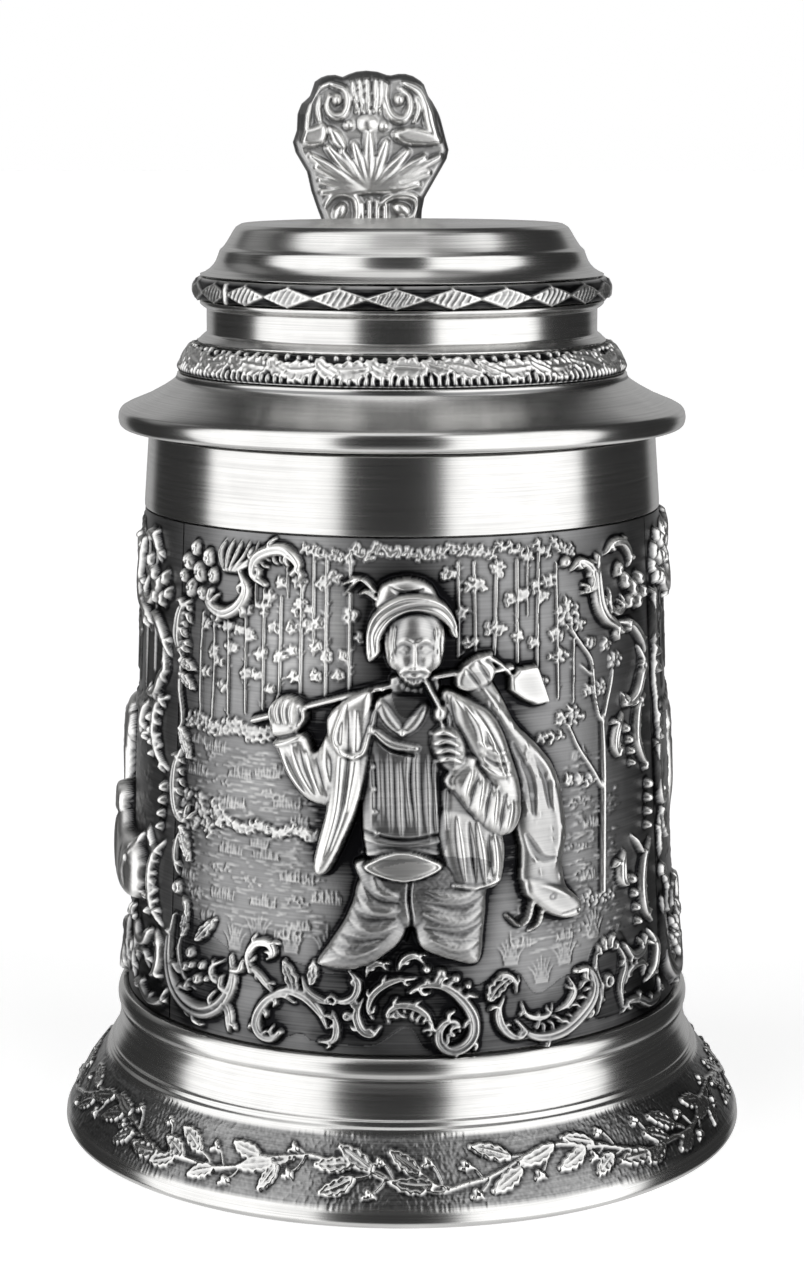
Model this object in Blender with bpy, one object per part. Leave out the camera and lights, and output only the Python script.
"""Lidded pewter tankard with three cast relief plates round its barrel.

World units are metres; the dimensions below are in millimetres and MM turns them into metres.
The turned axis is Z, the foot stands on Z = 0, the front faces -Y, and the handle is at +Y.
"""
import math

import bpy
import bmesh
from mathutils import Vector

MM = 0.001
GAP = 0.3                      # clearance between pieces that touch
SEGMENTS = 48                  # facets round a full turn
FULL_TURN = 2 * math.pi

# Foot
FOOT_RADIUS = 59.8
FOOT_TOP_Z = 25.0
PLATE_RECESS = 0.8             # base plate above the standing plane
PLATE_THICKNESS = 1.2

# Barrel: the ground of the relief is a slow cone
GROUND_TOP_Z = 109.0
GROUND_TOP_RADIUS = 43.7
GROUND_TAPER = 0.05            # growth of radius per millimetre down
RELIEF_ALLOWANCE = 0.5         # mean height of the relief above its ground
RELIEF_PLATE_WALL = 1.2
LINER_WALL = 1.2
LINER_FLOOR_Z = 21.3
RIM_Z = 122.9

# Collar
COLLAR_BOTTOM_Z = 109.2
COLLAR_TOP_Z = 121.8
COLLAR_BOTTOM_RADIUS = 44.3
COLLAR_TOP_RADIUS = 43.5

# Lid hinge
HINGE_Y = 53.5
HINGE_Z = 124.5
PIN_RADIUS = 1.5
KNUCKLE_RADIUS = 3.4
CENTRE_KNUCKLE_HALF = 4.2      # half the width of the knuckle on the lid
EAR_INNER = 4.6
EAR_OUTER = 9.0
BRACKET_TOP_Z = 119.0
BRACKET_BOTTOM_Z = 110.6
BRACKET_BACK_Y = 57.2

# Handle
PAD_Z = 40.0
PAD_FACE_Y = 50.5

BRIGHT = ((0.62, 0.62, 0.60), 0.28)
ANTIQUED = ((0.34, 0.34, 0.33), 0.42)


def clear_scene():
    for old in list(bpy.data.objects):
        bpy.data.objects.remove(old, do_unlink=True)


def pewter(name, finish):
    """A metal material; finish is (colour, roughness)."""
    colour, roughness = finish
    material = bpy.data.materials.new(name)
    material.use_nodes = True
    shader = material.node_tree.nodes["Principled BSDF"]
    shader.inputs["Base Color"].default_value = (*colour, 1.0)
    shader.inputs["Metallic"].default_value = 1.0
    shader.inputs["Roughness"].default_value = roughness
    return material


def add_object(name, bm, finish, parent=None):
    """Puts a finished bmesh in the scene, its origin on the parent's if it has one."""
    bmesh.ops.remove_doubles(bm, verts=bm.verts, dist=1e-7)
    bmesh.ops.recalc_face_normals(bm, faces=bm.faces)
    mesh = bpy.data.meshes.new(name)
    if parent is not None:
        bmesh.ops.translate(bm, verts=bm.verts, vec=-parent.location)
    bm.to_mesh(mesh)
    bm.free()
    mesh.shade_smooth()
    mesh.set_sharp_from_angle(angle=math.radians(35))
    mesh.materials.append(pewter(name, finish))
    made = bpy.data.objects.new(name, mesh)
    bpy.context.scene.collection.objects.link(made)
    made.parent = parent
    return made


def turned_mesh(section, start=0.0, sweep=FULL_TURN, closed=True):
    """Spins a section of (radius, z) points about Z, from the angle start measured from -Y.

    A closed section makes a ring; an open one begins and ends on the axis and makes a solid.
    """
    bm = bmesh.new()
    corners = [
        bm.verts.new((r * math.sin(start) * MM, -r * math.cos(start) * MM, z * MM))
        for r, z in section
    ]
    pairs = list(zip(corners, corners[1:]))
    if closed:
        pairs.append((corners[-1], corners[0]))
    edges = [bm.edges.new(pair) for pair in pairs]
    whole = abs(sweep - FULL_TURN) < 1e-9
    bmesh.ops.spin(
        bm,
        geom=corners + edges,
        cent=(0, 0, 0),
        axis=(0, 0, 1),
        angle=sweep,
        steps=round(SEGMENTS * sweep / FULL_TURN),
        use_merge=whole,
    )
    if not whole:
        open_edges = [edge for edge in bm.edges if edge.is_boundary]
        bmesh.ops.holes_fill(bm, edges=open_edges, sides=0)
    return bm


def turned(name, section, finish, parent=None, closed=True):
    return add_object(name, turned_mesh(section, closed=closed), finish, parent)


def prism_mesh(outline, half_width, offset=0.0):
    """Extrudes a (y, z) outline along X, half_width to each side of x = offset."""
    bm = bmesh.new()
    face = bm.faces.new(
        [bm.verts.new(((offset - half_width) * MM, y * MM, z * MM)) for y, z in outline]
    )
    pushed = bmesh.ops.extrude_face_region(bm, geom=[face])["geom"]
    moved = [item for item in pushed if isinstance(item, bmesh.types.BMVert)]
    bmesh.ops.translate(bm, verts=moved, vec=(2 * half_width * MM, 0, 0))
    return bm


def arc(centre, radius, first, last, steps):
    """Points on an arc in the YZ plane, angles in degrees from +Y towards +Z."""
    turn = [math.radians(first + (last - first) * i / steps) for i in range(steps + 1)]
    return [
        (centre[0] + radius * math.cos(a), centre[1] + radius * math.sin(a))
        for a in turn
    ]


def rod_mesh(radius, x_from, x_to, y=HINGE_Y, z=HINGE_Z, end_radius=None, sides=16):
    """A round bar along X. end_radius makes the far end smaller, as on a domed cap."""
    bm = bmesh.new()
    far = radius if end_radius is None else end_radius
    low, high = sorted((x_from, x_to))
    first, second = (radius, far) if x_from < x_to else (far, radius)
    bmesh.ops.create_cone(
        bm,
        cap_ends=True,
        segments=sides,
        radius1=first * MM,
        radius2=second * MM,
        depth=(high - low) * MM,
    )
    spin = Vector((0, 0, 1)).rotation_difference(Vector((1, 0, 0))).to_matrix()
    bmesh.ops.rotate(bm, verts=bm.verts, cent=(0, 0, 0), matrix=spin)
    centre = ((low + high) / 2 * MM, y * MM, z * MM)
    bmesh.ops.translate(bm, verts=bm.verts, vec=centre)
    return bm


def helper(name, bm, parent=None):
    """A hidden shape that only a Boolean uses."""
    made = add_object(name, bm, BRIGHT, parent)
    made.hide_render = True
    made.display_type = "WIRE"
    return made


def combine(target, operation, other):
    step = target.modifiers.new(operation.title() + " " + other.name, "BOOLEAN")
    step.operation = operation
    step.solver = "EXACT"
    step.object = other


def ground_radius(z):
    """Radius of the relief's ground at height z."""
    return GROUND_TOP_RADIUS + (GROUND_TOP_Z - z) * GROUND_TAPER


def collar_radius(z):
    share = (z - COLLAR_BOTTOM_Z) / (COLLAR_TOP_Z - COLLAR_BOTTOM_Z)
    return COLLAR_BOTTOM_RADIUS + (COLLAR_TOP_RADIUS - COLLAR_BOTTOM_RADIUS) * share


def make_foot():
    """Cast foot: bead, cove, flared garland band and plain rim, with the liner's ledge inside."""
    liner_bore = ground_radius(FOOT_TOP_Z) - RELIEF_PLATE_WALL
    turned("foot_ring", [
        (liner_bore, FOOT_TOP_Z),
        (49.6, FOOT_TOP_Z), (50.2, 23.9), (50.2, 22.3),            # bead
        (49.85, 20.4), (50.4, 17.0), (51.5, 14.6),                 # cove
        (53.2, 12.0), (55.1, 9.4), (58.9, 3.6),                    # flare
        (59.7, 2.2), (FOOT_RADIUS, 1.0), (59.4, 0.0),              # rim
        (56.6, 0.0), (56.6, 2.4), (54.2, 5.6),                     # seat of the base plate
        (51.0, 10.0), (47.6, 16.4), (44.0, 18.6),                  # hollow underside
        (44.0, LINER_FLOOR_Z - GAP), (liner_bore, LINER_FLOOR_Z - GAP),
    ], ANTIQUED)
    plate_radius = 56.6 - GAP
    plate_top = PLATE_RECESS + PLATE_THICKNESS
    turned("base_plate", [
        (0, PLATE_RECESS), (plate_radius, PLATE_RECESS), (plate_radius, plate_top), (0, plate_top),
    ], BRIGHT, closed=False)


def make_barrel():
    """Smooth inner vessel, three relief plates of a third of a turn each, and the plain collar."""
    to_liner = RELIEF_PLATE_WALL + GAP
    outer_low = ground_radius(FOOT_TOP_Z) - to_liner
    outer_top = ground_radius(GROUND_TOP_Z) - to_liner
    inner_low, inner_top = outer_low - LINER_WALL, outer_top - LINER_WALL
    turned("inner_vessel", [
        (0, LINER_FLOOR_Z), (outer_low - 1.2, LINER_FLOOR_Z), (outer_low, LINER_FLOOR_Z + 1.2),
        (outer_low, FOOT_TOP_Z), (outer_top, GROUND_TOP_Z), (outer_top, COLLAR_TOP_Z + GAP),
        (43.3, COLLAR_TOP_Z + GAP), (43.5, 122.5), (43.2, RIM_Z),  # lip turned over the collar
        (41.3, RIM_Z), (inner_top, 122.4), (inner_top, GROUND_TOP_Z),
        (inner_low, FOOT_TOP_Z), (inner_low - 1.4, LINER_FLOOR_Z + LINER_WALL),
        (0, LINER_FLOOR_Z + LINER_WALL),
    ], BRIGHT, closed=False)

    low, high = FOOT_TOP_Z + GAP, COLLAR_BOTTOM_Z - GAP
    seam = math.asin(GAP / 2 / GROUND_TOP_RADIUS)
    third = FULL_TURN / 3
    for place, middle in (("front", 0.0), ("right", third), ("left", -third)):
        section = [
            (ground_radius(low) - RELIEF_PLATE_WALL, low),
            (ground_radius(low) + RELIEF_ALLOWANCE, low),
            (ground_radius(high) + RELIEF_ALLOWANCE, high),
            (ground_radius(high) - RELIEF_PLATE_WALL, high),
        ]
        start = middle - third / 2 + seam
        bm = turned_mesh(section, start, third - 2 * seam)
        add_object("relief_plate_" + place, bm, ANTIQUED)

    collar_bore = outer_top + GAP
    turned("collar_band", [
        (collar_bore, COLLAR_BOTTOM_Z), (COLLAR_BOTTOM_RADIUS, COLLAR_BOTTOM_Z),
        (COLLAR_TOP_RADIUS, COLLAR_TOP_Z), (collar_bore, COLLAR_TOP_Z),
    ], BRIGHT)


def handle_centre(t):
    """Centre line of the handle in the YZ plane, a cubic Bezier chain; t runs from 0 to 2."""
    chain = (
        ((57.5, 112.4), (74.0, 114.2), (88.0, 102.0), (88.8, 84.0)),
        ((88.8, 84.0), (89.6, 64.0), (68.0, 43.0), (PAD_FACE_Y + GAP, PAD_Z)),
    )
    which = min(int(t), 1)
    a, b, c, d = (Vector(point) for point in chain[which])
    u = t - which
    v = 1 - u
    return a * v**3 + b * (3 * v * v * u) + c * (3 * v * u * u) + d * u**3


def make_handle():
    """Cast handle: an oval section swept along its centre line, thinner towards the foot."""
    rings, sides = 30, 12
    bm = bmesh.new()
    loops = []
    for i in range(rings + 1):
        t = 2 * i / rings
        centre = handle_centre(t)
        ahead = handle_centre(min(t + 0.01, 2)) - handle_centre(max(t - 0.01, 0))
        if i in (0, rings):
            ahead = Vector((1 if i == 0 else -1, 0))               # both ends are upright faces
        ahead.normalize()
        outward = Vector((-ahead.y, ahead.x))
        half_wide = 6.6 - 1.6 * t / 2
        half_deep = 3.7 - 0.6 * t / 2
        loop = []
        for k in range(sides):
            angle = FULL_TURN * (k + 0.5) / sides
            across = half_wide * math.cos(angle)
            depth = half_deep * math.sin(angle)
            y, z = centre + outward * depth
            loop.append(bm.verts.new((across * MM, y * MM, z * MM)))
        loops.append(loop)
    for first, second in zip(loops, loops[1:]):
        for k in range(sides):
            n = (k + 1) % sides
            bm.faces.new((first[k], first[n], second[n], second[k]))
    bm.faces.new(loops[0])
    bm.faces.new(loops[-1])
    add_object("handle", bm, ANTIQUED)

    pad_low, pad_high = PAD_Z - 7.0, PAD_Z + 7.0
    outline = [
        (44.0, pad_low + 1.5), (PAD_FACE_Y - 0.8, pad_low), (PAD_FACE_Y, pad_low + 1.2),
        (PAD_FACE_Y, pad_high - 1.2), (PAD_FACE_Y - 0.8, pad_high), (44.0, pad_high - 1.5),
    ]
    pad = add_object("handle_lower_pad", prism_mesh(outline, 6.2), ANTIQUED)
    reach = RELIEF_ALLOWANCE + GAP
    barrel = turned_mesh([
        (0, 20.0), (ground_radius(20.0) + reach, 20.0), (ground_radius(60.0) + reach, 60.0), (0, 60.0),
    ], closed=False)
    combine(pad, "DIFFERENCE", helper("barrel_cutter", barrel))


def make_hinge_bracket():
    """Two ears for the hinge pin on a block soldered to the collar above the handle."""
    block = [
        (42.0, BRACKET_BOTTOM_Z + 1.5), (47.0, BRACKET_BOTTOM_Z - 1.0), (55.0, 106.8),
        (BRACKET_BACK_Y, 107.8), (BRACKET_BACK_Y, BRACKET_TOP_Z - 1.0),
        (BRACKET_BACK_Y - 1.0, BRACKET_TOP_Z), (42.0, BRACKET_TOP_Z),
    ]
    bracket = add_object("hinge_bracket", prism_mesh(block, EAR_OUTER), ANTIQUED)
    middle = (HINGE_Y, HINGE_Z)
    ear = arc(middle, KNUCKLE_RADIUS, 0, 180, 10)
    ear += [(HINGE_Y - KNUCKLE_RADIUS, 117.0), (HINGE_Y + KNUCKLE_RADIUS, 117.0)]
    ear_half = (EAR_OUTER - EAR_INNER) / 2
    ear_middle = (EAR_OUTER + EAR_INNER) / 2
    for side, place in ((-1, "left"), (1, "right")):
        shape = prism_mesh(ear, ear_half, side * ear_middle)
        combine(bracket, "UNION", helper("ear_" + place, shape))
    top, bottom = COLLAR_TOP_Z + 3.0, COLLAR_BOTTOM_Z - 6.0
    collar = turned_mesh([
        (0, bottom), (collar_radius(bottom) + GAP, bottom), (collar_radius(top) + GAP, top), (0, top),
    ], closed=False)
    combine(bracket, "DIFFERENCE", helper("collar_cutter", collar))
    bore = rod_mesh(PIN_RADIUS + GAP, -EAR_OUTER - 1, EAR_OUTER + 1)
    combine(bracket, "DIFFERENCE", helper("ear_bore_cutter", bore))

    add_object("hinge_pin", rod_mesh(PIN_RADIUS, -EAR_OUTER, EAR_OUTER), BRIGHT)
    for side, place in ((-1, "left"), (1, "right")):
        inner = side * (EAR_OUTER + GAP)
        cap = rod_mesh(2.8, inner, inner + side * 1.4, end_radius=1.9)
        add_object("pin_cap_" + place, cap, BRIGHT)


def make_lid(axis):
    """Everything that turns with the lid; axis is the empty on the hinge."""
    turned("lid_skirt", [
        (32.6, 136.4), (33.8, 136.4), (35.0, 134.8), (36.6, 132.0),        # seat of the oak band
        (38.6, 131.9), (38.8, 130.9), (41.0, 129.3), (44.0, 127.8),        # hollow slope
        (47.7, 126.3), (48.5, 125.2), (48.5, 123.7), (47.7, 122.8),        # rounded nose
        (44.4, 122.6), (44.4, 124.6), (42.0, 126.6),
        (39.0, 128.0), (36.4, 130.4), (34.0, 133.8),
    ], BRIGHT, axis)
    turned("lid_seat_ring", [
        (39.3, 118.9), (40.3, 118.9), (40.3, RIM_Z + GAP), (44.1, RIM_Z + GAP),
        (44.1, 124.3), (39.3, 124.3),
    ], BRIGHT, axis)
    turned("lid_oak_leaf_band", [
        (34.2, 136.6), (35.2, 136.9), (36.7, 135.3), (37.8, 133.4), (38.4, 132.2),
        (36.9, 132.2), (35.3, 135.0),
    ], ANTIQUED, axis)
    turned("lid_waist", [
        (32.0, 136.7), (33.8, 136.7), (33.8, 137.2), (34.9, 137.3), (34.9, 138.3),
        (33.4, 138.7), (33.4, 142.9), (34.2, 143.4), (34.2, 144.1),
        (33.4, 144.2), (33.4, 147.9), (32.0, 147.9),
    ], BRIGHT, axis)
    turned("lid_diamond_band", [
        (33.7, 144.4), (34.7, 144.4), (35.4, 145.4), (35.4, 147.0), (34.8, 148.0), (33.7, 148.0),
    ], ANTIQUED, axis)
    turned("lid_cap", [
        (0, 155.3), (26.6, 155.3), (28.6, 152.4), (30.0, 149.8), (31.9, 148.3),
        (34.5, 148.3), (34.4, 148.5), (32.4, 149.8), (31.3, 151.2), (30.9, 152.6),
        (29.6, 154.1), (28.6, 155.8), (27.4, 156.9), (0, 156.9),
    ], BRIGHT, axis, closed=False)


def make_lid_hinge(axis):
    """Strap from the lid's slope back to the middle knuckle, and the thumb-lift that stands on it."""
    seat_z = HINGE_Z + 4.7
    back_y = HINGE_Y + KNUCKLE_RADIUS
    outline = [
        (40.6, 130.6), (41.6, 129.7), (44.4, 128.3), (48.0, 126.7), (49.0, 125.4), (49.0, 123.6),
    ]
    outline += arc((HINGE_Y, HINGE_Z), KNUCKLE_RADIUS, 200, 360, 9)
    outline += [(back_y, seat_z), (50.6, seat_z), (45.0, 131.3), (41.4, 131.9)]
    strap = add_object(
        "lid_hinge_strap", prism_mesh(outline, CENTRE_KNUCKLE_HALF), ANTIQUED, axis
    )
    bore = rod_mesh(PIN_RADIUS + GAP, -CENTRE_KNUCKLE_HALF - 1, CENTRE_KNUCKLE_HALF + 1)
    combine(strap, "DIFFERENCE", helper("knuckle_bore_cutter", bore, axis))

    # Thumb-lift: (z, half width, front y, thickness) from its foot to its top
    levels = [
        (seat_z + GAP, 8.4, 51.2, 5.2), (140.0, 9.0, 51.8, 4.6), (154.6, 9.9, 52.2, 4.6),
        (162.6, 11.9, 52.2, 4.8), (166.6, 14.2, 52.2, 5.0), (169.2, 14.9, 52.4, 5.0),
        (174.1, 13.9, 53.0, 5.4), (178.6, 12.9, 54.2, 5.6), (181.8, 10.6, 55.6, 5.0),
        (183.5, 6.5, 57.0, 3.2),
    ]
    bm = bmesh.new()
    loops = []
    for z, half, front, thick in levels:
        chamfer = min(1.4, thick / 3)
        back = front + thick
        corners = [
            (-half + chamfer, front), (half - chamfer, front), (half, front + chamfer),
            (half, back - chamfer), (half - chamfer, back), (-half + chamfer, back),
            (-half, back - chamfer), (-half, front + chamfer),
        ]
        loops.append([bm.verts.new((x * MM, y * MM, z * MM)) for x, y in corners])
    for low, high in zip(loops, loops[1:]):
        for k in range(len(low)):
            n = (k + 1) % len(low)
            bm.faces.new((low[k], low[n], high[n], high[k]))
    bm.faces.new(loops[0])
    bm.faces.new(loops[-1])
    add_object("thumb_lift", bm, ANTIQUED, axis)


def main():
    clear_scene()
    make_foot()
    make_barrel()
    make_handle()
    make_hinge_bracket()
    hinge_axis = bpy.data.objects.new("lid_hinge_axis", None)
    bpy.context.scene.collection.objects.link(hinge_axis)
    hinge_axis.location = (0, HINGE_Y * MM, HINGE_Z * MM)
    bpy.context.view_layer.update()
    make_lid(hinge_axis)
    make_lid_hinge(hinge_axis)


main()
